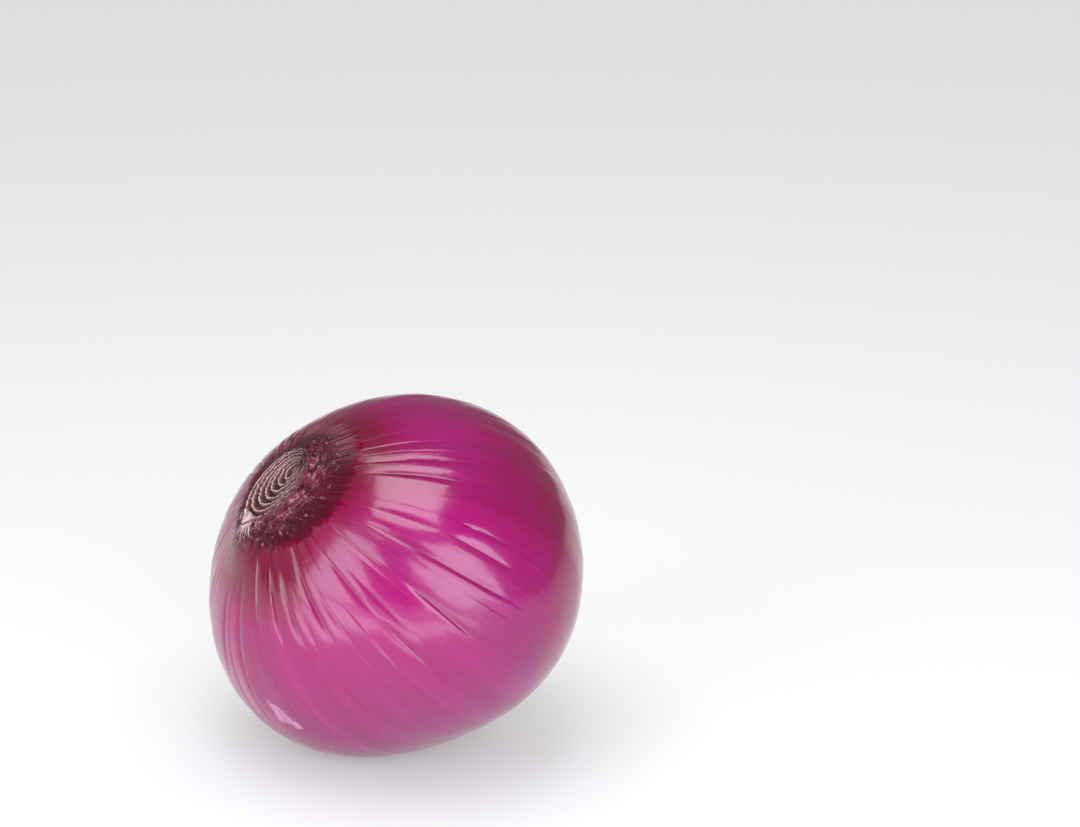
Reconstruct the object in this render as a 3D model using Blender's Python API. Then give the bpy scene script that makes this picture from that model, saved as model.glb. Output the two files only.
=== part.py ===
"""A trimmed red onion lying on its side: the ribbed fleshy bulb, its cut neck and its root plate.

Metres, +Z up. The onion is modelled upright in its own frame, with the neck on +Z and the
bulb's widest circle on z = 0. An empty then leans it over, until it stands on the small flat
spot that it rests on, whose middle is the part's origin.
"""

import math
import random

import bmesh
import bpy
from mathutils import Matrix, Vector

# The bulb, in metres, with angles in degrees.
BULB_RADIUS = 0.0401
SHOULDER_HEIGHT = 0.0383
ROOT_DEPTH = 0.0336
LEAN = 46.7
FLAT_SPOT_DEPTH = 0.0012
# The bulb is out of round: each bulge is the waves in one turn, its share of the radius, and
# the angle of its highest point.
BULGES = ((1, 0.004, 267.0), (2, 0.062, 131.5), (3, 0.024, 33.2), (4, 0.021, 0.6))
# It is also fuller underneath, so that its weight stands over the flat spot.
BELLY_HEIGHT = 0.0012
BELLY_WIDTH = 0.013
BELLY_AZIMUTH = 197.0
BELLY_LEVEL = 145.0

# The ribs, which run from the root to the neck, with a groove between each two. Each rib has a
# column of points on its groove and one near each side of it.
RIB_COUNT = 54
RIB_COLUMNS = (0.0, 0.24, 0.76)
RIB_JITTER = 0.15
RIB_SEED = 7
GROOVE_AT_WAIST = 0.00018
GROOVE_AT_ENDS = 0.00034
GROOVE_SPREAD = (0.5, 1.5)
RIB_RUN_OUT = 0.0030
LEVELS = 28

# The neck: an oval stub of dried leaf sheaths, cut across. Half-lengths of each oval.
NECK_AZIMUTH = 167.7
NECK_RIM = (0.0102, 0.0066)
NECK_RIM_RADIUS = sum(NECK_RIM) / 2
NECK_RIM_LIP = 0.0004
NECK_RISE = 0.0009
NECK_FLARE = 0.0045
NECK_SOCKET_DEPTH = 0.0030
NECK_FACE = (0.0088, 0.0050)
NECK_HEIGHT = 0.0021
NECK_STEPS = 64
SHEATH_COUNT = 7
SHEATH_CORE = 0.10
SHEATH_GAP_DEPTH = 0.0009
# (share of the way to the next sheath, share of the gap's depth): an edge, then the gap inside it.
SHEATH_STEPS = ((0.0, 0.0), (0.42, 0.0), (0.54, 1.0), (0.9, 1.0))
CORE_SHIFT = 0.0050
CRATER_DEPTH = 0.0010
FIBRE_SEED = 11
FIBRE_RELIEF = 0.00014
SPUR_LENGTH = 0.0026
SPUR_WIDTH = 16.0

# The root end, cut flat across the scales, and the root plate set in the middle of it.
ROOT_CUT_RADIUS = 0.0112
ROOT_SOCKET_RADIUS = 0.0082
ROOT_SOCKET_DEPTH = 0.0030
ROOT_PLATE_DOME = 0.0012
ROOT_PLATE_LEVELS = 4
ROOT_PLATE_STEPS = 48
ROOT_COUNT = 46
ROOT_SEED = 5
ROOT_RADIUS = 0.00062
ROOT_TAPER = 0.82
ROOT_SIDES = 5
ROOT_LENGTH = (0.0006, 0.0019)
ROOT_SINK = 0.0012
GOLDEN_ANGLE = math.pi * (3 - math.sqrt(5))

CLEARANCE = 0.0003

COLOURS = {
    "bulb": ((0.42, 0.020, 0.180), 0.28),
    "neck": ((0.170, 0.085, 0.090), 0.75),
    "root_plate": ((0.520, 0.400, 0.270), 0.80),
}


def clear_scene():
    """Removes whatever the file opened with."""
    for obj in list(bpy.data.objects):
        bpy.data.objects.remove(obj)


def smooth_step(x):
    """0 below 0 and 1 above 1, with a smooth rise between."""
    x = min(max(x, 0.0), 1.0)
    return x * x * (3 - 2 * x)


def oval_radius(angle, half_long, half_short):
    """Distance from an oval's middle to its edge, at an angle from its long axis."""
    return half_long * half_short / math.hypot(
        half_short * math.cos(angle), half_long * math.sin(angle)
    )


def rib_columns():
    """(angle, groove) for each column of points round the bulb. Groove is 0 on a rib."""
    draw = random.Random(RIB_SEED)
    turn = 2 * math.pi / RIB_COUNT
    grooves = [turn * (i + draw.uniform(-RIB_JITTER, RIB_JITTER)) for i in range(RIB_COUNT)]
    ends = grooves[1:] + [grooves[0] + 2 * math.pi]
    columns = []
    for start, end in zip(grooves, ends):
        depth = draw.uniform(*GROOVE_SPREAD)
        for across in RIB_COLUMNS:
            columns.append((start + (end - start) * across, 0.0 if across else depth))
    return columns


def bulge(angle, level):
    """The bulb's width against a round one's. Level runs from 0 at the neck to pi at the root."""
    waves = (share * math.cos(n * (angle - math.radians(at))) for n, share, at in BULGES)
    return 1 + math.sin(level) * sum(waves)


def belly(point):
    """The push outwards, at a point of the skin, that makes the bulb's underside fuller."""
    azimuth, level = math.radians(BELLY_AZIMUTH), math.radians(BELLY_LEVEL)
    middle = Vector(
        (math.sin(level) * math.cos(azimuth), math.sin(level) * math.sin(azimuth), math.cos(level))
    )
    off = (point - middle * BULB_RADIUS).length / BELLY_WIDTH
    return point.normalized() * BELLY_HEIGHT * math.exp(-(off**2))


def skin_point(angle, groove, level):
    """A point on the bulb's ribbed skin."""
    pole = SHOULDER_HEIGHT if level < math.pi / 2 else ROOT_DEPTH
    round_radius = BULB_RADIUS * math.sin(level)
    depth = GROOVE_AT_ENDS + (GROOVE_AT_WAIST - GROOVE_AT_ENDS) * math.sin(level) ** 2
    height = pole * math.cos(level)
    radius = round_radius * bulge(angle, level)
    if level < math.pi / 2:
        # Towards the neck the skin turns from round to oval, rises a little and loses its grooves.
        off_rim = round_radius - NECK_RIM_RADIUS
        near_neck = smooth_step(1 - off_rim / (1.6 * NECK_RIM_RADIUS))
        oval = oval_radius(angle - math.radians(NECK_AZIMUTH), *NECK_RIM) / NECK_RIM_RADIUS
        radius *= 1 + near_neck * (oval - 1)
        height += NECK_RISE * math.exp(-((off_rim / NECK_FLARE) ** 2))
        depth *= smooth_step(off_rim / RIB_RUN_OUT)
    radius -= depth * groove
    point = Vector((radius * math.cos(angle), radius * math.sin(angle), height))
    return point + belly(point)


def ring_of(columns, radius_at, height):
    """A level ring of points, one for each column."""
    return [
        Vector((radius_at(angle) * math.cos(angle), radius_at(angle) * math.sin(angle), height))
        for angle, _ in columns
    ]


def loft(rings):
    """A closed bmesh through rings of points, from the top ring down, with a flat face on each end."""
    bm = bmesh.new()
    loops = [[bm.verts.new(point) for point in ring] for ring in rings]
    for upper, lower in zip(loops, loops[1:]):
        for i, vert in enumerate(upper):
            after = (i + 1) % len(upper)
            bm.faces.new((vert, lower[i], lower[after], upper[after]))
    bm.faces.new(loops[0])
    bm.faces.new(reversed(loops[-1]))
    bmesh.ops.recalc_face_normals(bm, faces=bm.faces)
    return bm


def object_from(bm, name, collection=None):
    """An object that holds the bmesh, shaded smooth except along sharp edges."""
    mesh = bpy.data.meshes.new(name)
    bm.to_mesh(mesh)
    bm.free()
    mesh.shade_smooth()
    mesh.set_sharp_from_angle(angle=math.radians(35))
    obj = bpy.data.objects.new(name, mesh)
    (collection or bpy.context.scene.collection).objects.link(obj)
    return obj


def give_material(obj):
    """Each sub-part's own plain finish."""
    colour, roughness = COLOURS[obj.name]
    material = bpy.data.materials.new(obj.name)
    material.use_nodes = True
    shader = material.node_tree.nodes["Principled BSDF"]
    shader.inputs["Base Color"].default_value = (*colour, 1)
    shader.inputs["Roughness"].default_value = roughness
    obj.data.materials.clear()
    obj.data.materials.append(material)


def neck_rim_height():
    """The height of the bulb's rim round the neck."""
    rim_level = math.asin(NECK_RIM_RADIUS / BULB_RADIUS)
    return SHOULDER_HEIGHT * math.cos(rim_level) + NECK_RISE


def root_cut_height():
    """The height, below the waist, of the flat cut across the root end."""
    return -ROOT_DEPTH * math.cos(math.asin(ROOT_CUT_RADIUS / BULB_RADIUS))


def bulb_rings(columns):
    """The bulb's rings: neck socket, skin from neck to root, cut root end and root socket."""
    azimuth = math.radians(NECK_AZIMUTH)

    def socket_wall(inset):
        return lambda angle: oval_radius(angle - azimuth, NECK_RIM[0] - inset, NECK_RIM[1] - inset)

    first = math.asin(NECK_RIM_RADIUS / BULB_RADIUS)
    last = math.pi - math.asin(ROOT_CUT_RADIUS / BULB_RADIUS)
    rim, cut = neck_rim_height(), root_cut_height()
    rings = [
        ring_of(columns, socket_wall(NECK_RIM_LIP + 0.0001), rim - NECK_SOCKET_DEPTH),
        ring_of(columns, socket_wall(NECK_RIM_LIP), rim - 0.0003),
    ]
    for i in range(LEVELS + 1):
        # Levels crowd together towards both ends, where the skin curves into the neck and the cut.
        along = i / LEVELS
        along -= 0.07 * math.sin(2 * math.pi * along)
        level = first + (last - first) * along
        rings.append([skin_point(angle, groove, level) for angle, groove in columns])
    rings.append(ring_of(columns, lambda angle: ROOT_SOCKET_RADIUS, cut + 0.0003))
    rings.append(ring_of(columns, lambda angle: ROOT_SOCKET_RADIUS, cut + ROOT_SOCKET_DEPTH))
    return rings


def make_bulb(onion):
    """The fleshy bulb, cut flat where it rests. The onion's empty is leant and lifted to match."""
    bm = loft(bulb_rings(rib_columns()))
    lean = Matrix.Rotation(math.radians(-LEAN), 3, "Y")
    down = lean.inverted() @ Vector((0, 0, -1))
    lowest = max(down.dot(vert.co) for vert in bm.verts)
    flat_at = down * (lowest - FLAT_SPOT_DEPTH)
    geometry = bm.verts[:] + bm.edges[:] + bm.faces[:]
    bmesh.ops.bisect_plane(bm, geom=geometry, plane_co=flat_at, plane_no=down, clear_outer=True)
    flat = bmesh.ops.holes_fill(bm, edges=[edge for edge in bm.edges if edge.is_boundary])["faces"][0]
    middle = flat.calc_center_median_weighted()
    bmesh.ops.recalc_face_normals(bm, faces=bm.faces)
    onion.rotation_euler = (0, math.radians(-LEAN), 0)
    onion.location = -(lean @ middle)
    return object_from(bm, "bulb")


def sheath_rings():
    """The neck's rings: up its side, then over the cut face, edge and gap of sheath after sheath."""
    draw = random.Random(FIBRE_SEED)
    steps = [2 * math.pi * i / NECK_STEPS for i in range(NECK_STEPS)]
    ragged = [draw.uniform(-1, 1) for _ in steps]
    top = neck_rim_height() + NECK_HEIGHT
    base = neck_rim_height() - NECK_SOCKET_DEPTH + CLEARANCE
    azimuth = Matrix.Rotation(math.radians(NECK_AZIMUTH), 3, "Z")

    def oval(half_long, half_short, height, shift=0.0, relief=0.0, spur=0.0):
        ring = []
        for angle, rough in zip(steps, ragged):
            off_spur = math.degrees(math.atan2(math.sin(angle), math.cos(angle))) / SPUR_WIDTH
            pull = spur * math.exp(-(off_spur**2))
            along = (half_long + relief * rough) * math.cos(angle) - shift + pull * SPUR_LENGTH
            across = (half_short + relief * rough) * math.sin(angle)
            drop = 0.25 * SPUR_LENGTH * pull
            point = Vector((along, across, height + relief * rough * 0.6 - drop))
            ring.append(azimuth @ point)
        return ring

    inset = NECK_RIM_LIP + 0.0001 + CLEARANCE
    plug = (NECK_RIM[0] - inset, NECK_RIM[1] - inset)
    foot = neck_rim_height() - 0.0002
    rings = [oval(*plug, base), oval(*plug, foot)]
    for share, spur in ((0.3, 0.15), (0.7, 0.5)):
        sides = [low + (high - low) * share for low, high in zip(plug, NECK_FACE)]
        rings.append(oval(*sides, foot + (top - foot) * share, relief=FIBRE_RELIEF, spur=spur))
    for sheath in range(SHEATH_COUNT):
        for inwards, depth in SHEATH_STEPS:
            out = 1 - (1 - SHEATH_CORE) * (sheath + inwards) / SHEATH_COUNT
            height = top - CRATER_DEPTH * (1 - out) - SHEATH_GAP_DEPTH * depth * min(1, out + 0.35)
            rings.append(
                oval(
                    NECK_FACE[0] * out,
                    NECK_FACE[1] * out,
                    height,
                    shift=CORE_SHIFT * (1 - out),
                    relief=FIBRE_RELIEF * out * (1 - depth),
                    spur=max(0.0, 1 - 1.6 * (sheath + inwards)),
                )
            )
    return rings


def make_neck():
    """The dried neck: a ragged oval stub whose cut face shows the sheaths nested in each other."""
    return object_from(loft(sheath_rings()), "neck")


def root_plate_rings():
    """The root plate's rings: a low dome below, and a plug that stands in the bulb's root socket."""
    radius = ROOT_SOCKET_RADIUS - CLEARANCE
    cut = root_cut_height()
    columns = [(2 * math.pi * i / ROOT_PLATE_STEPS, 0) for i in range(ROOT_PLATE_STEPS)]
    rings = [
        ring_of(columns, lambda angle: radius, cut + ROOT_SOCKET_DEPTH - CLEARANCE),
        ring_of(columns, lambda angle: radius, cut),
    ]
    for i in range(1, ROOT_PLATE_LEVELS + 1):
        slope = 0.5 * math.pi * i / (ROOT_PLATE_LEVELS + 0.6)
        out = radius * math.cos(slope)
        rings.append(ring_of(columns, lambda angle: out, cut - ROOT_PLATE_DOME * math.sin(slope)))
    return rings


def make_root_stub(index, draw, collection):
    """One cut root: a short tapered peg, sunk in the plate and leaning outwards a little."""
    share = math.sqrt((index + 0.5) / ROOT_COUNT)
    out = share * (ROOT_SOCKET_RADIUS - CLEARANCE - 2.2 * ROOT_RADIUS)
    angle = index * GOLDEN_ANGLE + draw.uniform(-0.12, 0.12)
    plate = root_cut_height() - ROOT_PLATE_DOME * math.sqrt(1 - share**2)
    length = ROOT_SINK + draw.uniform(*ROOT_LENGTH)
    radius = ROOT_RADIUS * draw.uniform(0.8, 1.2)
    place = (
        Matrix.Rotation(angle, 4, "Z")
        @ Matrix.Translation((out, 0, plate + ROOT_SINK))
        @ Matrix.Rotation(math.radians(-draw.uniform(6, 24)) * share, 4, "Y")
        @ Matrix.Translation((0, 0, -length / 2))
    )
    bm = bmesh.new()
    bmesh.ops.create_cone(
        bm,
        cap_ends=True,
        segments=ROOT_SIDES,
        radius1=radius * ROOT_TAPER,
        radius2=radius,
        depth=length,
        matrix=place,
    )
    object_from(bm, f"root_stub_{index}", collection)


def make_root_plate():
    """The corky root plate with the stubs of its cut roots, joined in one body."""
    plate = object_from(loft(root_plate_rings()), "root_plate")
    draw = random.Random(ROOT_SEED)
    stubs = bpy.data.collections.new("root_stubs")
    for index in range(ROOT_COUNT):
        make_root_stub(index, draw, stubs)
    join = plate.modifiers.new("join_roots", "BOOLEAN")
    join.operation = "UNION"
    join.operand_type = "COLLECTION"
    join.collection = stubs
    join.solver = "EXACT"
    bpy.context.view_layer.objects.active = plate
    bpy.ops.object.modifier_apply(modifier=join.name)
    for stub in list(stubs.objects):
        bpy.data.objects.remove(stub)
    bpy.data.collections.remove(stubs)
    return plate


def main():
    clear_scene()
    onion = bpy.data.objects.new("onion", None)
    bpy.context.scene.collection.objects.link(onion)
    for piece in (make_bulb(onion), make_neck(), make_root_plate()):
        piece.parent = onion
        give_material(piece)


main()
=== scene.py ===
"""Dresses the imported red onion: glossy ribbed skin, dry cut neck and trimmed root end.

Every form is laid out in the onion's own upright frame, neck on +Z and widest circle on z = 0,
and then leant over onto its resting spot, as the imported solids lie. Lengths are in metres.
"""

import logging
import math
import random
from collections.abc import Iterable
from dataclasses import dataclass
from enum import Enum

import bpy
import numpy as np
from mathutils import Euler, Matrix, Vector, noise


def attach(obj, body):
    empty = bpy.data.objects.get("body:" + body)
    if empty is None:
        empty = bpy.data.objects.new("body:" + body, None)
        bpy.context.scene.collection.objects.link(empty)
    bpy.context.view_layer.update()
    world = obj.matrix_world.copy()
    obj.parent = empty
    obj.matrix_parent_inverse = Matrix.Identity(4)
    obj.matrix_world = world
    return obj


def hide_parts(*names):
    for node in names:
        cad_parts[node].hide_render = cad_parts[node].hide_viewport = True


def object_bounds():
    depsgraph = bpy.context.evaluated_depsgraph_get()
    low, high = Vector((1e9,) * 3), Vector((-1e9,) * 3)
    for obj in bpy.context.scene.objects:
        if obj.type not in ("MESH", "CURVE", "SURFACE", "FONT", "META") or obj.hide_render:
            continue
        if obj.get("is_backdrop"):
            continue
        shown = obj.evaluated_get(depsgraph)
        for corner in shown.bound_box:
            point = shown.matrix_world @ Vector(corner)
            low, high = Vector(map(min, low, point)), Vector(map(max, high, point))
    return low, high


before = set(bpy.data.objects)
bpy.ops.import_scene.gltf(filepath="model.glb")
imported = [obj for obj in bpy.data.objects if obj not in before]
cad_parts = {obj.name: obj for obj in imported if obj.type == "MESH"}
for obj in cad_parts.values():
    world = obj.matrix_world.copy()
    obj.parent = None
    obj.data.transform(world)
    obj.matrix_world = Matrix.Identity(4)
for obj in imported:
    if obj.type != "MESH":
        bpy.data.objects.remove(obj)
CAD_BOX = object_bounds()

LOG = logging.getLogger("onion")
MM = 0.001
GOLDEN_ANGLE = math.pi * (3 - math.sqrt(5))
# The upper end of a random phase: just past a whole turn.
ANY_PHASE = 6.3

Colour = tuple[float, float, float]
Span = tuple[float, float]
Point = tuple[float, float, float]
Socket = bpy.types.NodeSocket
Value = Socket | float
Paint = Socket | Colour
Layer = tuple[Socket, float, Paint]

NEAR_WHITE: Colour = (0.98, 1.0, 1.02)
COOL_WHITE: Colour = (0.93, 1.0, 1.10)


class Blend(Enum):
    """How one colour is laid over another."""

    COVER = "MIX"
    STAIN = "MULTIPLY"


class Gloss(Enum):
    """How shiny the skin is: its specular level and its coat."""

    SHINY = (0.5, 0.35)
    DRY = (0.07, 0.0)

    def __init__(self, specular: float, coat: float) -> None:
        """Names a gloss's two values."""
        self.specular = specular
        self.coat = coat


class Slot(Enum):
    """The record's material slots."""

    SKIN = "skin"
    SHEATHS = "dry_sheaths"
    ROOTS = "roots"


# The onion's form


@dataclass(frozen=True)
class Lie:
    """How the onion lies: leant over about +Y, its widest circle centred on its seat."""

    lean: float = math.radians(46.7)
    seat: Point = (0.006124, -0.002775, 0.036621)

    def world(self, points: np.ndarray) -> np.ndarray:
        """Takes points from the onion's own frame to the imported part's.

        Args:
            points: an array whose last axis is x, y, z in the onion's frame.

        Returns:
            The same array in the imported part's frame.
        """
        cos, sin = math.cos(self.lean), math.sin(self.lean)
        x, y, z = np.moveaxis(points, -1, 0)
        return np.stack((x * cos - z * sin, y, x * sin + z * cos), -1) + np.array(self.seat)

    def matrix(self) -> Matrix:
        """The same move as a matrix."""
        return Matrix.Translation(self.seat) @ Matrix.Rotation(-self.lean, 4, "Y")


def ease(x: np.ndarray) -> np.ndarray:
    """0 below 0 and 1 above 1, with a smooth rise between."""
    x = np.clip(x, 0.0, 1.0)
    return x * x * (3 - 2 * x)


def oval(angle: np.ndarray, half_long: float, half_short: float) -> np.ndarray:
    """Distance from an oval's middle to its edge, at an angle from its long axis."""
    across = np.hypot(half_short * np.cos(angle), half_long * np.sin(angle))
    return half_long * half_short / across


def crinkle(points: np.ndarray, scale: float, where: np.ndarray | bool = True) -> np.ndarray:
    """Crumpled noise, from about -1 to 1.

    Args:
        points: an array whose last axis is x, y, z.
        scale: the noise's steps in a metre.
        where: which points need it. The others get 0.

    Returns:
        The noise at each point.
    """
    chosen = np.broadcast_to(where, points.shape[:-1])
    values = np.zeros(points.shape[:-1])
    spots = map(Vector, points[chosen] * scale)
    values[chosen] = [noise.noise(spot) + 0.5 * noise.noise(spot * 2.1) for spot in spots]
    return values


def over_grid(values: np.ndarray, grid: np.ndarray) -> np.ndarray:
    """Each row's value, or each column's, written out for every point of a grid."""
    return values + np.zeros(grid.shape[:2])


def circle(angle: np.ndarray, radius: float | np.ndarray, height: float | np.ndarray) -> np.ndarray:
    """A ring of points about the onion's axis."""
    return np.stack((radius * np.cos(angle), radius * np.sin(angle), height + np.zeros_like(angle)), -1)


@dataclass(frozen=True)
class BulbForm:
    """The bulb's out-of-round form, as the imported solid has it."""

    radius: float = 40.1 * MM
    shoulder: float = 38.3 * MM
    root_depth: float = 33.6 * MM
    # (waves round, share of the radius, where the first crest is, in degrees)
    bulges: tuple = ((1, 0.004, 267.0), (2, 0.062, 131.5), (3, 0.024, 33.2), (4, 0.021, 0.6))
    belly_height: float = 1.2 * MM
    belly_width: float = 13 * MM
    belly_azimuth: float = math.radians(197.0)
    belly_level: float = math.radians(145.0)
    neck_azimuth: float = math.radians(167.7)
    rim: Span = (10.2 * MM, 6.6 * MM)
    rise: float = 0.9 * MM
    flare: float = 4.5 * MM
    root_cut: float = 11.2 * MM

    @property
    def rim_radius(self) -> float:
        """Mean radius of the rim round the neck."""
        return sum(self.rim) / 2

    @property
    def first_level(self) -> float:
        """The level, from the neck, where the skin starts at the rim."""
        return math.asin(self.rim_radius / self.radius)

    @property
    def last_level(self) -> float:
        """The level where the skin ends at the root cut."""
        return math.pi - math.asin(self.root_cut / self.radius)

    @property
    def rim_height(self) -> float:
        """Height of the rim round the neck."""
        return self.shoulder * math.cos(self.first_level) + self.rise

    @property
    def cut_height(self) -> float:
        """Height of the flat cut across the root end, below the widest circle."""
        return -self.root_depth * math.cos(math.asin(self.root_cut / self.radius))

    def skin(self, angle: np.ndarray, level: np.ndarray, sink: np.ndarray) -> np.ndarray:
        """Points on the skin.

        Args:
            angle: angles round the axis.
            level: levels from the neck, 0, to the root, pi.
            sink: how far each point lies under the smooth form.

        Returns:
            An array with x, y, z on its last axis.
        """
        upper = level < math.pi / 2
        round_radius = self.radius * np.sin(level)
        waves = sum(share * np.cos(n * (angle - math.radians(at))) for n, share, at in self.bulges)
        spread = round_radius * (1 + np.sin(level) * waves)
        off_rim = round_radius - self.rim_radius
        near_neck = np.where(upper, ease(1 - off_rim / (1.6 * self.rim_radius)), 0.0)
        spread *= 1 + near_neck * (oval(angle - self.neck_azimuth, *self.rim) / self.rim_radius - 1)
        spread -= sink
        height = np.where(upper, self.shoulder, self.root_depth) * np.cos(level)
        height += np.where(upper, self.rise * np.exp(-((off_rim / self.flare) ** 2)), 0.0)
        points = np.stack((spread * np.cos(angle), spread * np.sin(angle), height), -1)
        return points + self.belly(points)

    def belly(self, points: np.ndarray) -> np.ndarray:
        """The push outwards that makes the underside fuller.

        Args:
            points: an array whose last axis is x, y, z.

        Returns:
            The push at each point.
        """
        level, azimuth = self.belly_level, self.belly_azimuth
        middle = self.radius * np.array(
            (math.sin(level) * math.cos(azimuth), math.sin(level) * math.sin(azimuth), math.cos(level))
        )
        off = np.linalg.norm(points - middle, axis=-1, keepdims=True) / self.belly_width
        outwards = points / np.linalg.norm(points, axis=-1, keepdims=True)
        return outwards * self.belly_height * np.exp(-(off**2))


@dataclass(frozen=True)
class Ribs:
    """The ribs that run from the root to the neck, with a groove of its own depth between each two."""

    count: int = 54
    jitter: float = 0.15
    seed: int = 7
    spread: Span = (0.5, 1.5)
    at_waist: float = 0.18 * MM
    at_ends: float = 0.34 * MM
    run_out: float = 3 * MM
    groove_width: float = 0.15
    at_rim: float = 0.2
    shares: tuple[float, ...] = (0.0, 0.06, 0.13, 0.28, 0.50, 0.72, 0.87, 0.94)
    # The grooves that show best: (angle, level of the middle, half-length, depth), in degrees
    marked: tuple = (
        (168.0, 50, 13, 1.3),
        (180.0, 44, 13, 1.3),
        (193.0, 33, 11, 1.3),
        (205.0, 38, 11, 1.6),
        (214.0, 40, 10, 1.8),
        (227.4, 37, 14, 1.8),
        (248.0, 41, 9, 1.7),
        (248.0, 65, 9, 1.3),
        (263.8, 35, 9, 1.7),
        (263.8, 65, 11, 2.0),
        (277.0, 44, 10, 1.6),
        (277.0, 65, 11, 2.0),
        (284.8, 41, 8, 1.1),
        (284.8, 66, 9, 1.7),
        (290.5, 64, 7, 1.3),
        (307.0, 41, 13, 1.7),
        (315.0, 40, 10, 1.1),
    )
    quiet: float = 0.28
    quiet_side: Span = (150.0, 400.0)

    def nearest(self, angle: float) -> int:
        """The number of the groove nearest to an angle in degrees."""
        return round(angle * self.count / 360) % self.count

    def columns(self) -> tuple[np.ndarray, ...]:
        """The columns of points round the bulb, the last at the first one's place.

        Returns:
            Each column's angle, groove (its share of the groove's depth), the number of its
            nearest groove, its place across its rib from -1 to 1, and the number of its rib.
        """
        draw = random.Random(self.seed)
        turn = 2 * math.pi / self.count
        grooves = [turn * (i + draw.uniform(-self.jitter, self.jitter)) for i in range(self.count)]
        depths = [draw.uniform(*self.spread) for _ in grooves]
        for angle, *_ in self.marked:
            grooves[self.nearest(angle)] = math.radians(angle)
            depths[self.nearest(angle)] = 1.0
        grooves.append(grooves[0] + 2 * math.pi)
        rows = []
        for i in range(self.count):
            for share in self.shares:
                near, gap = (i, share) if share < 0.5 else ((i + 1) % self.count, 1 - share)
                angle = grooves[i] + (grooves[i + 1] - grooves[i]) * share
                groove = depths[near] * math.exp(-((gap / self.groove_width) ** 2))
                rows.append((angle, groove, near, 2 * share - 1 if share else 0.0, i))
        rows.append((grooves[-1], *rows[0][1:]))
        angle, groove, near, across, rib = np.array(rows).T
        return angle, groove, near.astype(int), across, rib.astype(int)


# The workshop


def deselect() -> None:
    """Leaves nothing selected, in object mode."""
    if bpy.context.mode != "OBJECT":
        bpy.ops.object.mode_set(mode="OBJECT")
    bpy.ops.object.select_all(action="DESELECT")


def take(piece: bpy.types.Object) -> None:
    """Makes a piece the only one selected, and the active one.

    Args:
        piece: the piece.
    """
    deselect()
    piece.select_set(True)
    bpy.context.view_layer.objects.active = piece


def rolled_sheet(name: str, points: np.ndarray, **notes: np.ndarray) -> bpy.types.Object:
    """A closed tube: a grid primitive is laid out row by row, its seam merged and its ends filled.

    Args:
        name: the piece's name.
        points: row, column and x, y, z. The last column repeats the first one's points.
        notes: values for each point that the finish reads, by name.

    Returns:
        The tube, with its normals outwards.
    """
    rows, columns = points.shape[:2]
    deselect()
    bpy.ops.mesh.primitive_grid_add(x_subdivisions=columns - 1, y_subdivisions=rows - 1, size=1)
    piece = bpy.context.active_object
    piece.name = piece.data.name = name
    piece.data.vertices.foreach_set("co", points.reshape(-1))
    for note, values in notes.items():
        layer = piece.data.attributes.new(note, "FLOAT", "POINT")
        layer.data.foreach_set("value", np.broadcast_to(values, (rows, columns)).reshape(-1))
    take(piece)
    bpy.ops.object.mode_set(mode="EDIT")
    bpy.ops.mesh.select_all(action="SELECT")
    bpy.ops.mesh.remove_doubles(threshold=1e-7)
    bpy.ops.mesh.select_all(action="DESELECT")
    bpy.ops.mesh.select_mode(type="EDGE")
    bpy.ops.mesh.select_non_manifold(extend=False)
    bpy.ops.mesh.fill_holes(sides=0)
    bpy.ops.mesh.select_all(action="SELECT")
    bpy.ops.mesh.normals_make_consistent(inside=False)
    deselect()
    return piece


def strands(name: str, paths: Iterable[np.ndarray], width: float, taper: float) -> bpy.types.Object:
    """Fine fibres: round-bevelled curves, thinner towards their tips, made into one mesh.

    Args:
        name: the piece's name.
        paths: the points that each fibre follows, root first.
        width: radius of a fibre at its root.
        taper: the tip's share of that radius.

    Returns:
        The fibres as one mesh.
    """
    deselect()
    bpy.ops.object.add(type="CURVE")
    piece = bpy.context.active_object
    curve = piece.data
    curve.dimensions = "3D"
    curve.bevel_depth = width
    curve.bevel_resolution = 0
    curve.use_fill_caps = True
    for path in paths:
        spline = curve.splines.new("POLY")
        spline.points.add(len(path) - 1)
        spline.points.foreach_set("co", np.column_stack((path, np.ones(len(path)))).reshape(-1))
        for i, point in enumerate(spline.points):
            point.radius = 1 + (taper - 1) * i / (len(path) - 1)
    take(piece)
    bpy.ops.object.convert(target="MESH")
    piece = bpy.context.active_object
    piece.name = piece.data.name = name
    return piece


def hand_over(
    piece: bpy.types.Object,
    finish: bpy.types.Material,
    node: str | None = None,
    crease: float = 40.0,
) -> None:
    """Shades a finished piece, gives it its finish and sets it on the onion.

    Args:
        piece: the piece, at the origin.
        finish: the material that covers it.
        node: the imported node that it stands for, if any.
        crease: the angle, in degrees, above which an edge stays sharp.
    """
    take(piece)
    bpy.ops.object.shade_smooth_by_angle(angle=math.radians(crease))
    piece.data.materials.clear()
    piece.data.materials.append(finish)
    deselect()
    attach(piece, "root")
    if node:
        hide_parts(node)
    LOG.info("%s: %d faces in %s", piece.name, len(piece.data.polygons), finish.name)


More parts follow.
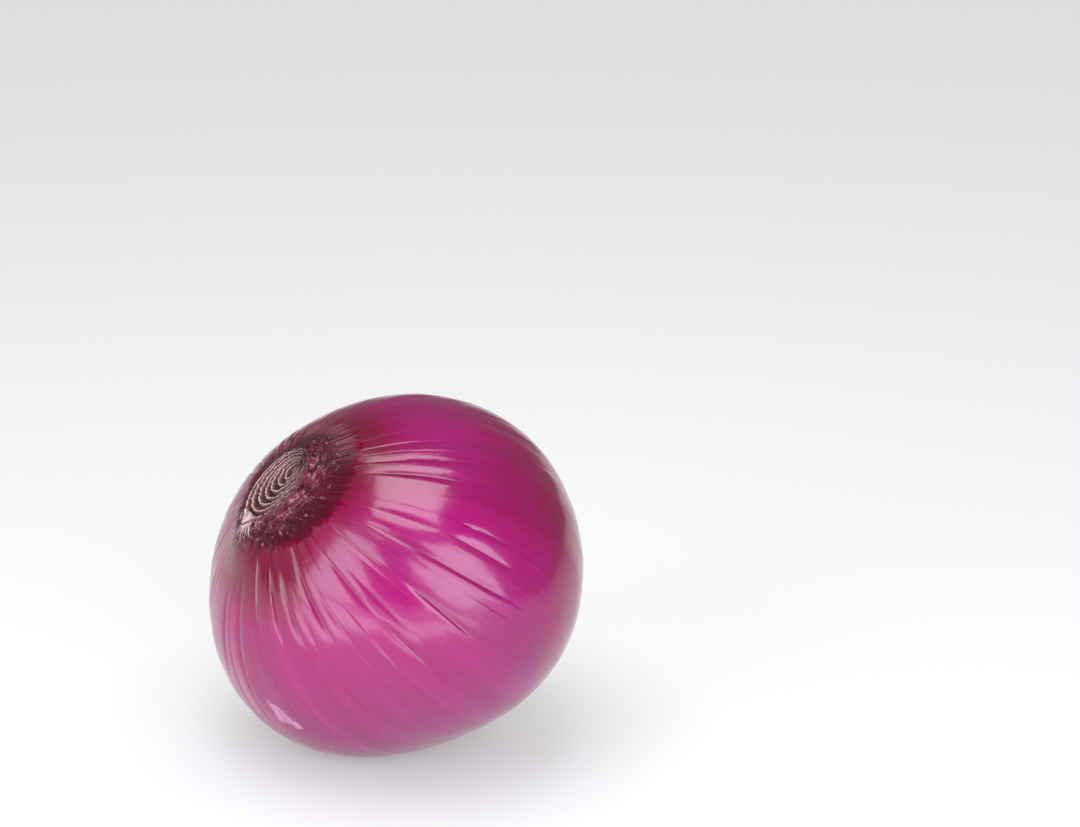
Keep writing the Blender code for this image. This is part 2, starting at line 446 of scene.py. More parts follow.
class Bench:
    """A bench for wiring one finish."""

    def __init__(self, name: str) -> None:
        """Starts a finish.

        Args:
            name: the material's name.
        """
        self.material = bpy.data.materials.new(name)
        self.material.use_nodes = True
        self.tree = self.material.node_tree
        self.shader = self.tree.nodes["Principled BSDF"]

    def feed(self, socket: Socket, value: Value | tuple) -> None:
        """Links a socket to another, or sets its own value.

        Args:
            socket: the input to feed.
            value: an output socket, a number, or a vector or colour.
        """
        if isinstance(value, Socket):
            self.tree.links.new(value, socket)
        elif socket.type == "RGBA" and len(value) == 3:
            socket.default_value = (*value, 1.0)
        else:
            socket.default_value = value

    def math(self, operation: str, *values: Value) -> Socket:
        """Works a number out.

        Args:
            operation: the Math node's operation.
            values: what it works on.

        Returns:
            The outcome.
        """
        node = self.tree.nodes.new("ShaderNodeMath")
        node.operation = operation
        for socket, value in zip(node.inputs, values):
            self.feed(socket, value)
        return node.outputs[0]

    def vector(self, operation: str, *values: Value | tuple) -> Socket:
        """Works a vector out.

        Args:
            operation: the Vector Math node's operation.
            values: what it works on. With SCALE, the second one is a number.

        Returns:
            The outcome, which is a number for a length or a product.
        """
        node = self.tree.nodes.new("ShaderNodeVectorMath")
        node.operation = operation
        sockets = [node.inputs[0], node.inputs[3]] if operation == "SCALE" else node.inputs[:]
        for socket, value in zip(sockets, values):
            self.feed(socket, value)
        return node.outputs["Value" if operation in ("LENGTH", "DISTANCE", "DOT_PRODUCT") else "Vector"]

    def rise(self, value: Socket, low: float, high: float) -> Socket:
        """A smooth rise from 0 to 1, or a fall from 1 to 0 where low is above high.

        Args:
            value: the value that it follows.
            low: the value where it is 0.
            high: the value where it is 1.

        Returns:
            The rise.
        """
        node = self.tree.nodes.new("ShaderNodeMapRange")
        node.interpolation_type = "SMOOTHSTEP"
        self.feed(node.inputs[0], value)
        falls = low > high
        for socket, number in zip(node.inputs[1:], (min(low, high), max(low, high), falls, not falls)):
            self.feed(socket, float(number))
        return node.outputs[0]

    def both(self, share: Socket, other: Value) -> Socket:
        """A share of a share."""
        return self.math("MULTIPLY", share, other)

    def mix(self, share: Value, under: Paint, over: Paint, way: Blend = Blend.COVER) -> Socket:
        """One colour laid over another.

        Args:
            share: how much of the upper colour shows, from 0 to 1.
            under: the colour below.
            over: the colour laid over it.
            way: how it is laid.

        Returns:
            The mixed colour.
        """
        node = self.tree.nodes.new("ShaderNodeMix")
        node.data_type = "RGBA"
        node.blend_type = way.value
        for place, value in ((0, share), (6, under), (7, over)):
            self.feed(node.inputs[place], value)
        return node.outputs[2]

    def lay(self, colour: Paint, *layers: Layer) -> Socket:
        """Lays colours over another, one after the other.

        Args:
            colour: the colour below.
            layers: for each, where it shows, the most that it shows, and its colour.

        Returns:
            The mixed colour.
        """
        for share, most, over in layers:
            colour = self.mix(self.both(share, most), colour, over)
        return colour

    def grey(self, value: Socket) -> Socket:
        """A number as a grey, or as a vector along the diagonal.

        Args:
            value: the number.

        Returns:
            The grey.
        """
        node = self.tree.nodes.new("ShaderNodeCombineColor")
        for socket in node.inputs:
            self.feed(socket, value)
        return node.outputs[0]

    def noise(self, place: Socket, scale: float, detail: float = 2.0, roughness: float = 0.5) -> Socket:
        """Soft noise about 0.5.

        Args:
            place: where it is read.
            scale: its steps in one unit of the place.
            detail: how many finer noises are added.
            roughness: how much the finer ones weigh.

        Returns:
            The noise.
        """
        node = self.tree.nodes.new("ShaderNodeTexNoise")
        self.feed(node.inputs["Vector"], place)
        self.feed(node.inputs["Scale"], scale)
        self.feed(node.inputs["Detail"], detail)
        self.feed(node.inputs["Roughness"], roughness)
        return node.outputs["Fac"]

    def noted(self, name: str) -> Socket:
        """The values that the piece's points were given.

        Args:
            name: the name that they were given under.

        Returns:
            The values.
        """
        node = self.tree.nodes.new("ShaderNodeAttribute")
        node.attribute_name = name
        return node.outputs["Fac"]

    def place(self, lie: Lie) -> Socket:
        """Each point's place in the onion's own upright frame.

        Args:
            lie: how the onion lies.

        Returns:
            The place.
        """
        coords = self.tree.nodes.new("ShaderNodeTexCoord")
        mapping = self.tree.nodes.new("ShaderNodeMapping")
        mapping.vector_type = "TEXTURE"
        mapping.inputs["Location"].default_value = lie.seat
        mapping.inputs["Rotation"].default_value = (0, -lie.lean, 0)
        self.feed(mapping.inputs["Vector"], coords.outputs["Object"])
        return mapping.outputs["Vector"]

    def along(self, place: Socket, fineness: float, drift: float) -> Socket:
        """A place for patterns that run from root to neck.

        Args:
            place: the place in the onion's frame.
            fineness: the pattern's steps in one radian of a turn.
            drift: how fast the pattern changes along the onion, in steps a metre.

        Returns:
            A place that is the same all along a meridian, but for the drift.
        """
        outwards = self.vector("NORMALIZE", self.level(place))
        drifted = self.vector("MULTIPLY", place, (0, 0, drift))
        return self.vector("ADD", self.vector("SCALE", outwards, fineness), drifted)

    def level(self, place: Socket) -> Socket:
        """A place brought to the height of the widest circle."""
        return self.vector("MULTIPLY", place, (1, 1, 0))

    def facing(self, place: Socket, side: Point) -> Socket:
        """How nearly a place lies towards one side, as a cosine."""
        return self.vector("DOT_PRODUCT", self.vector("NORMALIZE", place), side)

    def bump(
        self, height: Socket, distance: float, strength: float = 1.0, under: Socket | None = None
    ) -> Socket:
        """Fine relief.

        Args:
            height: the relief's height, from 0 to 1.
            distance: the height, in metres, that 1 stands for.
            strength: the relief's share.
            under: coarser relief that this one goes on.

        Returns:
            The bent normal.
        """
        node = self.tree.nodes.new("ShaderNodeBump")
        node.inputs["Strength"].default_value = strength
        node.inputs["Distance"].default_value = distance
        self.feed(node.inputs["Height"], height)
        if under:
            self.feed(node.inputs["Normal"], under)
        return node.outputs["Normal"]

    def dress(self, **values: Value | tuple) -> bpy.types.Material:
        """Feeds the shader.

        Args:
            values: what each socket gets, by its name with _ for a space.

        Returns:
            The finish.
        """
        for name, value in values.items():
            self.feed(self.shader.inputs[name.replace("_", " ")], value)
        return self.material


# The finishes


class SkinBench(Bench):
    """A bench with the skin's own patterns laid out on it."""

    def __init__(self, name: str, lie: Lie) -> None:
        """Starts a finish and lays its patterns out.

        Args:
            name: the material's name.
            lie: how the onion lies.
        """
        super().__init__(name)
        self.spot = self.place(lie)
        apart = self.tree.nodes.new("ShaderNodeSeparateXYZ")
        self.feed(apart.inputs[0], self.spot)
        self.height = apart.outputs["Z"]
        self.out = self.vector("LENGTH", self.level(self.spot))
        self.veins = self.noise(self.along(self.spot, 44, 28), 1.0, 3.0, 0.6)
        self.bands = self.noise(self.along(self.spot, 10, 24), 1.0, 2.0)
        self.feathers = self.noise(self.along(self.spot, 15, 30), 1.0, 3.0, 0.65)
        self.hairs = self.noise(self.along(self.spot, 75, 60), 1.0, 2.0)
        self.fibres = self.noise(self.along(self.spot, 36, 50), 1.0, 2.0, 0.6)
        self.blotches = self.noise(self.spot, 62, 4.0, 0.55)
        self.mottle = self.noise(self.spot, 420, 3.0, 0.6)


@dataclass(frozen=True)
class SkinFinish:
    """The outer scale: magenta and glossy, with painted shade in its grooves and a dry dark halo round the neck.
    """

    magenta: Colour = (0.310, 0.002, 0.116)
    crimson: Colour = (0.200, 0.000, 0.036)
    ruby: Colour = (0.230, 0.001, 0.045)
    purple: Colour = (0.275, 0.008, 0.138)
    groove: Colour = (0.190, 0.000, 0.048)
    pale: Colour = (0.520, 0.180, 0.340)
    scar: Colour = (0.700, 0.420, 0.560)
    slate: Colour = (0.050, 0.015, 0.024)
    umber: Colour = (0.058, 0.001, 0.008)
    mauve: Colour = (0.310, 0.090, 0.115)
    bark: Colour = (0.160, 0.028, 0.043)
    blood: Colour = (0.140, 0.000, 0.020)
    pit: Colour = (0.020, 0.002, 0.005)
    fleck: Colour = (0.420, 0.250, 0.260)
    flesh: Colour = (0.620, 0.480, 0.480)
    blush: Colour = (0.500, 0.300, 0.360)
    # Directions in the onion's frame: the side turned away from the lamps, painted a deeper ruby as shade, and
    # sides of the neck
    shaded_side: Point = (0.75, -0.55, -0.35)
    tuft_side: Point = (-0.98, -0.20, 0.0)
    waist_side: Point = (0.80, -0.60, 0.0)
    slate_side: Point = (0.94, 0.34, 0.0)
    # Distances from the axis, and heights, from where one colour starts to where the next has taken over
    out_to_magenta: Span = (13 * MM, 32 * MM)
    # The purple and the pale towards the bottom are a painted reflection of the pale ground.
    down_to_reflected_purple: Span = (30 * MM, -24 * MM)
    down_to_reflected_pale: Span = (-27 * MM, -33 * MM)
    halo_above: Span = (5 * MM, 12 * MM)
    halo_middle: Point = (2.6 * MM, 0.6 * MM, 0.0)
    halo_radius: float = 15.0 * MM
    halo_feathers: float = 5.5 * MM
    halo_hairs: float = 2.0 * MM
    halo_softness: float = 1.1 * MM
    # How far the crimson reaches past the halo: anywhere, and more by the tuft and towards the waist
    crimson_reach: float = 5.2 * MM
    tuft_reach: float = 9.5 * MM
    waist_reach: float = 4.5 * MM
    # The border between the shiny and the dry skin
    gloss_border: float = 15.3 * MM
    gloss_fray: float = 2.2 * MM
    gloss_jags: float = 14.0

    def open_skin(self, bench: SkinBench) -> Socket:
        """The skin's colour away from the neck, with painted shade on the side turned from the lamps and in the
        grooves, and a painted reflection of the ground towards the bottom.

        Args:
            bench: the bench.

        Returns:
            The colour.
        """
        colour = bench.mix(bench.rise(bench.out, *self.out_to_magenta), self.crimson, self.magenta)
        # Purple towards the bottom: painted reflection of the pale ground.
        colour = bench.mix(bench.rise(bench.height, *self.down_to_reflected_purple), colour, self.purple)
        colour = bench.lay(
            colour,
            # A deeper ruby on the side turned away from the lamps: painted shade.
            (bench.rise(bench.facing(bench.spot, self.shaded_side), 0.50, 0.95), 0.90, self.ruby),
            # Pale at the very bottom: painted reflection of the pale ground.
            (bench.rise(bench.height, *self.down_to_reflected_pale), 0.45, self.pale),
            (bench.rise(bench.bands, 0.42, 0.72), 0.25, self.crimson),
            (bench.rise(bench.veins, 0.55, 0.78), 0.16, self.groove),
            (bench.rise(bench.veins, 0.44, 0.27), 0.07, self.pale),
            (bench.rise(bench.blotches, 0.45, 0.68), 0.25, self.purple),
        )
        tone = bench.math("MULTIPLY_ADD", bench.noted("tone"), 0.07, 1.0)
        colour = bench.mix(1.0, colour, bench.grey(tone), Blend.STAIN)
        # The grooves' colour, laid by each groove's depth: painted shade in the grooves.
        return bench.lay(colour, (bench.noted("groove"), 0.30, self.groove))

    def halo(self, bench: SkinBench, colour: Socket) -> tuple[Socket, Socket]:
        """Lays the dry dark halo round the neck, and the crimson skin round it.

        Args:
            bench: the bench.
            colour: the open skin's colour.

        Returns:
            The colour, and where the halo is.
        """
        aside = bench.vector("SUBTRACT", bench.level(bench.spot), self.halo_middle)
        ragged = bench.math("MULTIPLY_ADD", bench.feathers, self.halo_feathers, bench.vector("LENGTH", aside))
        ragged = bench.math("MULTIPLY_ADD", bench.hairs, self.halo_hairs, ragged)
        edge = self.halo_radius + (self.halo_feathers + self.halo_hairs) / 2
        above = bench.rise(bench.height, *self.halo_above)
        halo = bench.both(bench.rise(ragged, edge + self.halo_softness, edge - self.halo_softness), above)

        by_tuft = bench.rise(bench.facing(aside, self.tuft_side), 0.60, 0.97)
        to_waist = bench.rise(bench.facing(aside, self.waist_side), 0.40, 1.00)
        reach = bench.math("MULTIPLY_ADD", by_tuft, self.tuft_reach, edge + self.crimson_reach)
        reach = bench.math("MULTIPLY_ADD", to_waist, self.waist_reach, reach)
        reach = bench.math("SUBTRACT", reach, ragged)
        colour = bench.lay(
            colour,
            (bench.both(bench.rise(reach, 0.0, 6.5 * MM), above), 0.88, self.crimson),
            (bench.both(bench.rise(reach, 3.5 * MM, 8.5 * MM), above), 0.75, self.blood),
        )

        away = bench.facing(aside, self.slate_side)
        fringe = bench.rise(ragged, edge - 5.5 * MM, edge - 1.5 * MM)
        fringe = bench.both(fringe, bench.rise(away, 0.15, 0.95))
        dark = bench.lay(
            bench.mix(bench.rise(away, -0.10, 0.75), self.umber, self.slate),
            (bench.both(fringe, bench.rise(bench.fibres, 0.35, 0.62)), 0.95, self.mauve),
            (bench.rise(bench.fibres, 0.54, 0.72), 0.32, self.bark),
            (bench.rise(bench.fibres, 0.46, 0.32), 0.50, self.pit),
            (bench.rise(bench.hairs, 0.52, 0.75), 0.22, self.bark),
        )
        return bench.lay(colour, (halo, 0.96, dark)), halo

    def collar(self, bench: SkinBench, colour: Socket) -> Socket:
        """Lays the creased bark of the collar, dark in the hollows of its creases and pale on their crests as
        partly painted shade and light, and the pale specks round it.

        Args:
            bench: the bench.
            colour: the colour below.

        Returns:
            The colour.
        """
        collar = bench.noted("collar")
        ringed = bench.vector("SCALE", bench.spot, 420.0)
        ringed = bench.vector("ADD", ringed, bench.grey(bench.math("MULTIPLY", collar, 14.0)))
        rings = bench.math("MULTIPLY_ADD", bench.noise(ringed, 1.0, 3.0, 0.7), 3.2, -1.6)
        crease = bench.math("ADD", bench.math("MULTIPLY", bench.noted("crease"), 0.35), rings)
        # Dark in the crease hollows and pale on their crests: partly painted shade and light, partly the bark's
        # own colours.
        bark = bench.mix(bench.rise(crease, -0.40, 0.35), self.pit, self.bark)
        bark = bench.lay(bark, (bench.rise(crease, 0.40, 0.70), 0.75, self.fleck))
        specks = bench.rise(bench.noise(bench.spot, 1000, 2.0, 0.6), 0.58, 0.68)
        return bench.lay(
            colour,
            (bench.rise(collar, 0.33, 0.85), 0.9, bark),
            (bench.both(specks, bench.rise(collar, 0.08, 0.40)), 0.5, self.fleck),
        )

    def scuff(self, bench: SkinBench, colour: Socket) -> Socket:
        """Lays the pale scuff low on the front.

        Args:
            bench: the bench.
            colour: the colour below.

        Returns:
            The colour.
        """
        frayed = bench.math("MULTIPLY_ADD", bench.mottle, 4 * MM, bench.noted("off_scuff"))
        scraped = bench.both(bench.rise(frayed, 4.2 * MM, 3.0 * MM), bench.rise(bench.veins, 0.40, 0.56))
        return bench.lay(
            colour,
            (bench.rise(frayed, 4.3 * MM, 3.4 * MM), 0.45, self.pale),
            (scraped, 0.50, self.scar),
        )

    def cut_scales(self, bench: SkinBench, colour: Socket) -> Socket:
        """Lays the pale flesh of the root cut, with a magenta line where each scale is cut.

        Args:
            bench: the bench.
            colour: the colour below.

        Returns:
            The colour.
        """
        flesh = bench.mix(bench.rise(bench.blotches, 0.35, 0.65), self.flesh, self.blush)
        flesh = bench.mix(bench.noted("scale_line"), flesh, self.magenta)
        return bench.mix(bench.noted("cut"), colour, flesh)

    def make(self, lie: Lie, gloss: Gloss) -> bpy.types.Material:
        """Wires the finish.

        Args:
            lie: how the onion lies.
            gloss: whether it is for the shiny skin or for the dry skin round the neck.

        Returns:
            The material.
        """
        bench = SkinBench(f"onion_skin_{gloss.name.lower()}", lie)
        colour, halo = self.halo(bench, self.open_skin(bench))
        colour = self.cut_scales(bench, self.scuff(bench, self.collar(bench, colour)))
        rough = bench.math("MULTIPLY_ADD", bench.rise(bench.mottle, 0.30, 0.80), 0.06, 0.14)
        rough = bench.math("MULTIPLY_ADD", bench.rise(bench.blotches, 0.35, 0.65), 0.09, rough)
        rough = bench.math("MULTIPLY_ADD", bench.rise(bench.veins, 0.50, 0.72), 0.09, rough)
        if gloss is Gloss.DRY:
            dry = bench.math("MAXIMUM", halo, bench.noted("cut"))
            rough = bench.math("MAXIMUM", rough, bench.math("MULTIPLY", dry, 0.50))
        relief = bench.bump(bench.noise(bench.spot, 260, 2.0), 0.08 * MM)
        relief = bench.bump(bench.veins, 0.04 * MM, 1.0, relief)
        relief = bench.bump(bench.mottle, 0.02 * MM, 1.0, relief)
        return bench.dress(
            Base_Color=colour,
            Roughness=rough,
            Normal=relief,
            Subsurface_Weight=0.12,
            Subsurface_Radius=(1.0, 0.25, 0.45),
            Subsurface_Scale=0.003,
            Specular_IOR_Level=gloss.specular,
            Coat_Weight=gloss.coat,
            Coat_Roughness=0.09,
        )

    def dry_at(self, place: Vector) -> bool:
        """Whether the skin round the neck is dry at a place, with a frayed border.

        Args:
            place: the place in the onion's frame.

        Returns:
            True where it is dry.
        """
        aside = place.xy - Vector(self.halo_middle).xy
        fray = self.gloss_fray * noise.noise((aside.normalized() * self.gloss_jags).to_3d())
        return place.z > 0 and aside.length + fray < self.gloss_border


@dataclass(frozen=True)
class SheathFinish:
    """The neck's dried sheaths: cream cut edges, gaps darkened to brown-black with their depth as painted shade,
    and a streaked purple-brown side.
    """

    cream: Colour = (0.570, 0.370, 0.355)
    tan: Colour = (0.190, 0.082, 0.075)
    gap: Colour = (0.045, 0.017, 0.014)
    side: Colour = (0.060, 0.007, 0.014)
    side_pale: Colour = (0.230, 0.070, 0.085)

    def make(self, lie: Lie) -> bpy.types.Material:
        """Wires the finish.

        Args:
            lie: how the onion lies.

        Returns:
            The material.
        """
        bench = Bench("dry_neck")
        place = bench.place(lie)
        streaks = bench.noise(bench.along(place, 60, 500), 1.0, 3.0, 0.6)
        grain = bench.noise(place, 2600, 3.0, 0.65)
        patches = bench.noise(place, 500, 2.0)
        edge = bench.both(bench.noted("edge"), bench.rise(grain, 0.15, 0.55))
        # Dark brown where the edge tone is low, in the deep gaps between the sheaths: painted shade.
        face = bench.mix(bench.rise(edge, 0.05, 0.55), self.gap, self.tan)
        face = bench.mix(bench.rise(edge, 0.60, 0.98), face, self.cream)
        face = bench.lay(face, (bench.rise(patches, 0.50, 0.70), 0.45, self.tan))
        crushed = bench.both(bench.noted("crushed"), bench.rise(patches, 0.62, 0.45))
        face = bench.mix(crushed, face, self.side)
        side = bench.mix(bench.rise(streaks, 0.40, 0.70), self.side, self.side_pale)
        side = bench.lay(side, (bench.rise(grain, 0.50, 0.80), 0.4, self.gap))
        colour = bench.mix(bench.noted("side"), face, side)
        relief = bench.bump(streaks, 0.10 * MM, 0.7)
        relief = bench.bump(grain, 0.06 * MM, 0.7, relief)
        return bench.dress(
            Base_Color=colour,
            Roughness=bench.math("MULTIPLY_ADD", grain, 0.25, 0.55),
            Normal=relief,
            Specular_IOR_Level=0.35,
        )


@dataclass(frozen=True)
class FibreFinish:
    """Dry plant fibre, in one tone with lighter and darker stretches."""

    name: str
    light: Colour
    dark: Colour
    scale: float = 900.0

    def make(self, lie: Lie) -> bpy.types.Material:
        """Wires the finish.

        Args:
            lie: how the onion lies.

        Returns:
            The material.
        """
        bench = Bench(self.name)
        place = bench.place(lie)
        stretches = bench.noise(place, self.scale, 3.0, 0.6)
        grain = bench.noise(place, self.scale * 4, 2.0)
        colour = bench.mix(bench.rise(stretches, 0.35, 0.65), self.dark, self.light)
        return bench.dress(
            Base_Color=colour,
            Roughness=bench.math("MULTIPLY_ADD", grain, 0.3, 0.55),
            Normal=bench.bump(grain, 0.04 * MM, 0.6),
            Specular_IOR_Level=0.3,
        )


@dataclass(frozen=True)
class CorkFinish:
    """The root plate: corky tan, browner in its pits."""

    tan: Colour = (0.430, 0.290, 0.180)
    brown: Colour = (0.130, 0.070, 0.040)
    cream: Colour = (0.620, 0.500, 0.360)

    def make(self, lie: Lie) -> bpy.types.Material:
        """Wires the finish.

        Args:
            lie: how the onion lies.

        Returns:
            The material.
        """
        bench = Bench("root_cork")
        place = bench.place(lie)
        lumps = bench.noise(place, 520, 4.0, 0.6)
        grain = bench.noise(place, 2400, 3.0, 0.6)
        colour = bench.mix(bench.rise(lumps, 0.35, 0.60), self.brown, self.tan)
        colour = bench.lay(colour, (bench.rise(grain, 0.50, 0.75), 0.7, self.cream))
        relief = bench.bump(lumps, 0.4 * MM, 0.8)
        return bench.dress(
            Base_Color=colour,
            Roughness=0.85,
            Normal=bench.bump(grain, 0.1 * MM, 0.8, relief),
            Specular_IOR_Level=0.25,
        )


@dataclass(frozen=True)
class FloorFinish:
    """The plain pale ground, with a glow of its own that fades close to the onion as a painted contact shadow.
    """

    white: Colour = (0.40, 0.40, 0.40)
    glow: float = 0.62
    shade_reach: float = 45 * MM
    shade: float = 0.55
    shade_samples: int = 4

    def make(self) -> bpy.types.Material:
        """Wires the finish.

        Returns:
            The material.
        """
        bench = Bench("pale_ground")
        # Ambient occlusion dims the glow close to the onion: a painted contact shadow.
        shade = bench.tree.nodes.new("ShaderNodeAmbientOcclusion")
        shade.samples = self.shade_samples
        shade.inputs["Distance"].default_value = self.shade_reach
        faded, least = self.glow * self.shade, self.glow * (1 - self.shade)
        glow = bench.math("MULTIPLY_ADD", shade.outputs["AO"], faded, least)
        return bench.dress(
            Base_Color=self.white,
            Roughness=0.6,
            Specular_IOR_Level=0.1,
            Emission_Color=(1.0, 1.0, 1.0),
            Emission_Strength=glow,
        )


# The sub-assemblies


@dataclass
class Bulb:
    """The bulb's outer scale, from the foot of the neck to the flat cut at the root end."""

    form: BulbForm
    ribs: Ribs
    lie: Lie
    rows: int = 186
    row_crowding: float = 0.06
    fillet_rows: int = 9
    fillet_rise: float = 1.25 * MM
    stub_foot: Span = (9.15 * MM, 6.05 * MM)
    # Where the skin tucks in under the neck: (share of the stub's foot, how far down)
    tuck: tuple = ((0.985, 0.15 * MM), (0.97, 1.5 * MM), (0.90, 3.4 * MM))
    collar_rise: float = 1.0 * MM
    collar_width: float = 1.7 * MM
    collar_spread: float = 2.2
    collar_least: float = 0.01
    crease_depth: float = 0.16 * MM
    crease_scale: float = 620.0
    inset: float = 0.25 * MM
    # (number of waves, most turns round, most waves along, height)
    swells: tuple = ((9, 9, 6.0, 0.080 * MM), (16, 30, 17.0, 0.062 * MM))
    panel_tilt: float = 0.30 * MM
    panel_sway: float = 2.4
    # An unmarked groove's least depth, the most that it gains along its strong stretches, and how
    # rare grooves with much of that gain are
    faint: float = 0.15
    strong: float = 2.2
    rarity: float = 1.4
    # The share of boldness left by the neck, the share lost below the waist, and how much of that
    # loss comes back at the root
    neck_bold: float = 0.30
    neck_until: float = math.radians(18)
    neck_over: float = math.radians(24)
    lower_calm: float = 0.82
    calm_from: float = math.radians(72)
    calm_over: float = math.radians(20)
    root_bold: float = 0.6
    root_from: float = math.radians(125)
    root_over: float = math.radians(25)
    wander: float = math.radians(0.55)
    wander_waves: tuple = (8, 20, 5.0)
    seed: int = 3
    # The root cut, in shares of its radius
    face_shares: tuple[float, ...] = (
        0.992, 0.975, 0.955, 0.930, 0.905, 0.870,
        0.845, 0.820, 0.790, 0.770, 0.745, 0.725,
    )
    face_round: float = 0.06
    face_sink: float = 0.05 * MM
    scale_lines: tuple[float, ...] = (0.93, 0.845, 0.77)
    line_width: float = 0.009
    line_rise: float = 0.16 * MM
    socket_radius: float = 8.0 * MM
    socket_depths: Span = (0.4 * MM, 1.6 * MM)
    dry_edge: float = 0.4 * MM
    resting_softness: float = 0.15 * MM
    # The scuff's ends: (angle, level), in degrees
    scuff_ends: tuple = ((185.5, 70.2), (190.9, 81.2))
    scuff_taper: float = 1.3 * MM
    scuff_dent: float = 0.10 * MM
    scuff_width: float = 2 * MM
    scuff_noted: float = 10 * MM

    def waves(self, angle: np.ndarray, level: np.ndarray, size: tuple, draw: random.Random) -> np.ndarray:
        """Low waves all over the skin, with a height of about 1.

        Args:
            angle: each column's angle.
            level: each row's level.
            size: the number of waves, the most turns round and the most waves along.
            draw: the source of chance.

        Returns:
            The waves' height, row by column.
        """
        count, turns, along = size
        total = 0.0
        for _ in range(count):
            n, m = draw.randint(turns // 3, turns), draw.uniform(along / 4, along)
            down = np.cos(m * level + draw.uniform(0, ANY_PHASE))
            around = np.cos(n * angle + draw.uniform(0, ANY_PHASE))
            total = total + np.outer(down, around)
        return total / math.sqrt(count / 2)

    def boldness(self, level: np.ndarray) -> np.ndarray:
        """How bold the ribs and their unmarked grooves are.

        Args:
            level: each row's level.

        Returns:
            The boldness at each level.
        """
        bold = 1 - self.lower_calm * ease((level - self.calm_from) / self.calm_over)
        bold += self.lower_calm * self.root_bold * ease((level - self.root_from) / self.root_over)
        past_neck = ease((level - self.neck_until) / self.neck_over)
        return bold * (self.neck_bold + (1 - self.neck_bold) * past_neck)

    def groove_depth(self, level: np.ndarray) -> np.ndarray:
        """How deep a groove of full depth is: deeper towards both ends, and shallow at the rim.

        Args:
            level: each row's level.

        Returns:
            The depth at each level.
        """
        ribs = self.ribs
        depth = ribs.at_ends + (ribs.at_waist - ribs.at_ends) * np.sin(level) ** 2
        off_rim = self.form.radius * np.sin(level) - self.form.rim_radius
        run_in = ribs.at_rim + (1 - ribs.at_rim) * ease(off_rim / ribs.run_out)
        return depth * np.where(level < math.pi / 2, run_in, 1.0)

    def shape(self, level: np.ndarray) -> tuple[np.ndarray, ...]:
        """Where the skin's points lie, and how far under the smooth form.

        Args:
            level: each row's level.

        Returns:
            The angles, the sink and the grooves, row by column, and the columns' tones.
        """
        angle, groove, near, across, rib = self.ribs.columns()
        draw = random.Random(self.seed)
        sink = self.inset + np.zeros((len(level), len(angle)))
        for *size, height in self.swells:
            sink += height * np.sin(level)[:, None] * self.waves(angle, level, size, draw)
        tilt, phase, tone, strength, fade, shift = (
            np.array([draw.uniform(low, high) for _ in range(self.ribs.count)])
            for low, high in ((-1, 1), (0, ANY_PHASE), (-1, 1), (0.0, 1.0), (1.5, 5.0), (0, ANY_PHASE))
        )
        bold = self.boldness(level)[:, None]
        sway = np.cos(self.panel_sway * level[:, None] + phase[rib])
        tilt = tilt * np.abs(tilt)
        sink += self.panel_tilt * bold * np.sin(level)[:, None] * (across * tilt[rib]) * sway
        broken = 0.5 + 0.5 * np.cos(fade[near] * level[:, None] * 2 + shift[near])
        strength = self.faint + self.strong * strength[near] ** self.rarity * broken
        groove = groove * (bold * self.quiet[near] * strength + self.marks(level)[:, near])
        sink += self.groove_depth(level)[:, None] * groove
        wander = self.wander * np.sin(level)[:, None] * self.waves(angle, level, self.wander_waves, draw)
        return angle + wander, sink, groove, tone[rib]

    @property
    def quiet(self) -> np.ndarray:
        """Each groove's share of its depth: less on the side where only the marked ones show.

        Returns:
            The share for each groove.
        """
        at = np.arange(self.ribs.count) * 360 / self.ribs.count
        low, high = self.ribs.quiet_side
        return np.where((at - low) % 360 < high - low, self.ribs.quiet, 1.0)

    def marks(self, level: np.ndarray) -> np.ndarray:
        """The marked grooves' depth.

        Args:
            level: each row's level.

        Returns:
            The depth, row by groove.
        """
        marks = np.zeros((len(level), self.ribs.count))
        for angle, middle, half, depth in self.ribs.marked:
            off = (np.degrees(level) - middle) / half
            marks[:, self.ribs.nearest(angle)] += depth * np.exp(-(off**4))
        return marks

    def skin_rows(self) -> tuple[np.ndarray, ...]:
        """Lays out the skin from the rim to the root cut.

        Returns:
            The points, and at each point the groove, the tone, the collar's share and its creases.
        """
        along = np.linspace(0, 1, self.rows)
        along = along - self.row_crowding * np.sin(2 * math.pi * along)
        level = self.form.first_level + (self.form.last_level - self.form.first_level) * along
        angle, sink, groove, tone = self.shape(level)
        level_grid = over_grid(level[:, None], angle)
        off_scuff = self.off_scuff(self.form.skin(angle, level_grid, sink))
        sink += self.scuff_dent * np.exp(-((off_scuff / self.scuff_width) ** 4))
        points = self.form.skin(angle, level_grid, sink)
        off_rim = (self.form.radius * np.sin(level) - self.form.rim_radius)[:, None]
        upper = (level < math.pi / 2)[:, None]
        width = self.collar_spread * self.collar_width
        collar = np.where(upper, np.exp(-((off_rim / width) ** 2)), 0.0)
        creases = crinkle(points, self.crease_scale, collar > self.collar_least)
        points[..., 2] += np.where(upper, self.collar_rise * np.exp(-off_rim / self.collar_width), 0.0)
        points[..., 2] += self.crease_depth * collar * creases * ease(off_rim / MM)
        return points, groove, over_grid(tone, angle), over_grid(collar, angle), creases

